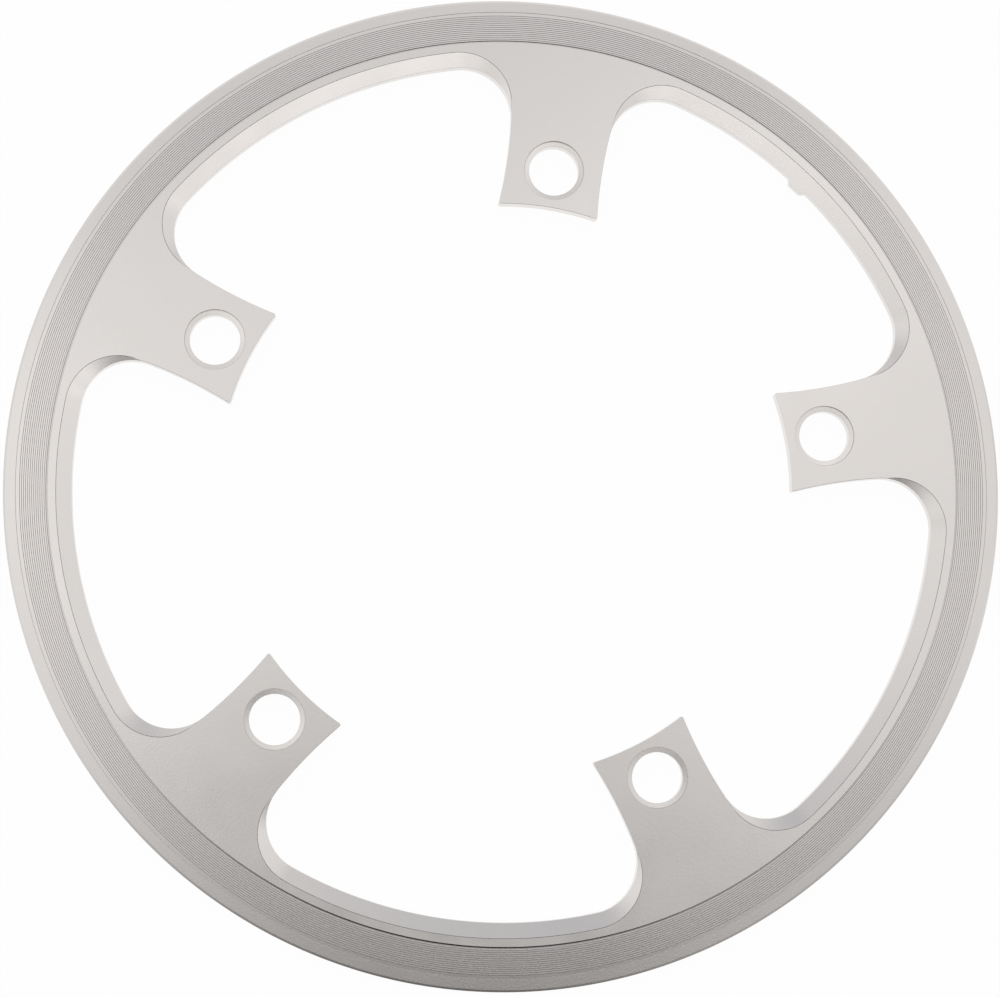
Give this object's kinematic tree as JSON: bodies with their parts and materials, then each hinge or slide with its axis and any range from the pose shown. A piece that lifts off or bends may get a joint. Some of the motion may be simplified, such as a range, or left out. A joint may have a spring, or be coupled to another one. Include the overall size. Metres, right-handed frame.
{
  "type": "bicycle chain guard",
  "caption": "Flat machined aluminium chain guard ring with a grooved rim band and short inward arms, each with a bolt hole in a shallow seat.",
  "frame": {"origin": "on the crank's axis, at the flat back face that bolts against the crank's arms or the chainring", "axes": "+Z along the crank's axis, out of the grooved front face; +Y along the first arm; the locating tab is in the first window clockwise from +Y, seen from the front"},
  "size_m": [0.1988, 0.1988, 0.003],
  "materials": {
    "satin_aluminium": "fine bead-blasted, clear anodised, with turned grooves in the rim band"
  },
  "bodies": {
    "root": {"chain_guard": "satin_aluminium"}
  },
  "joints": []
}
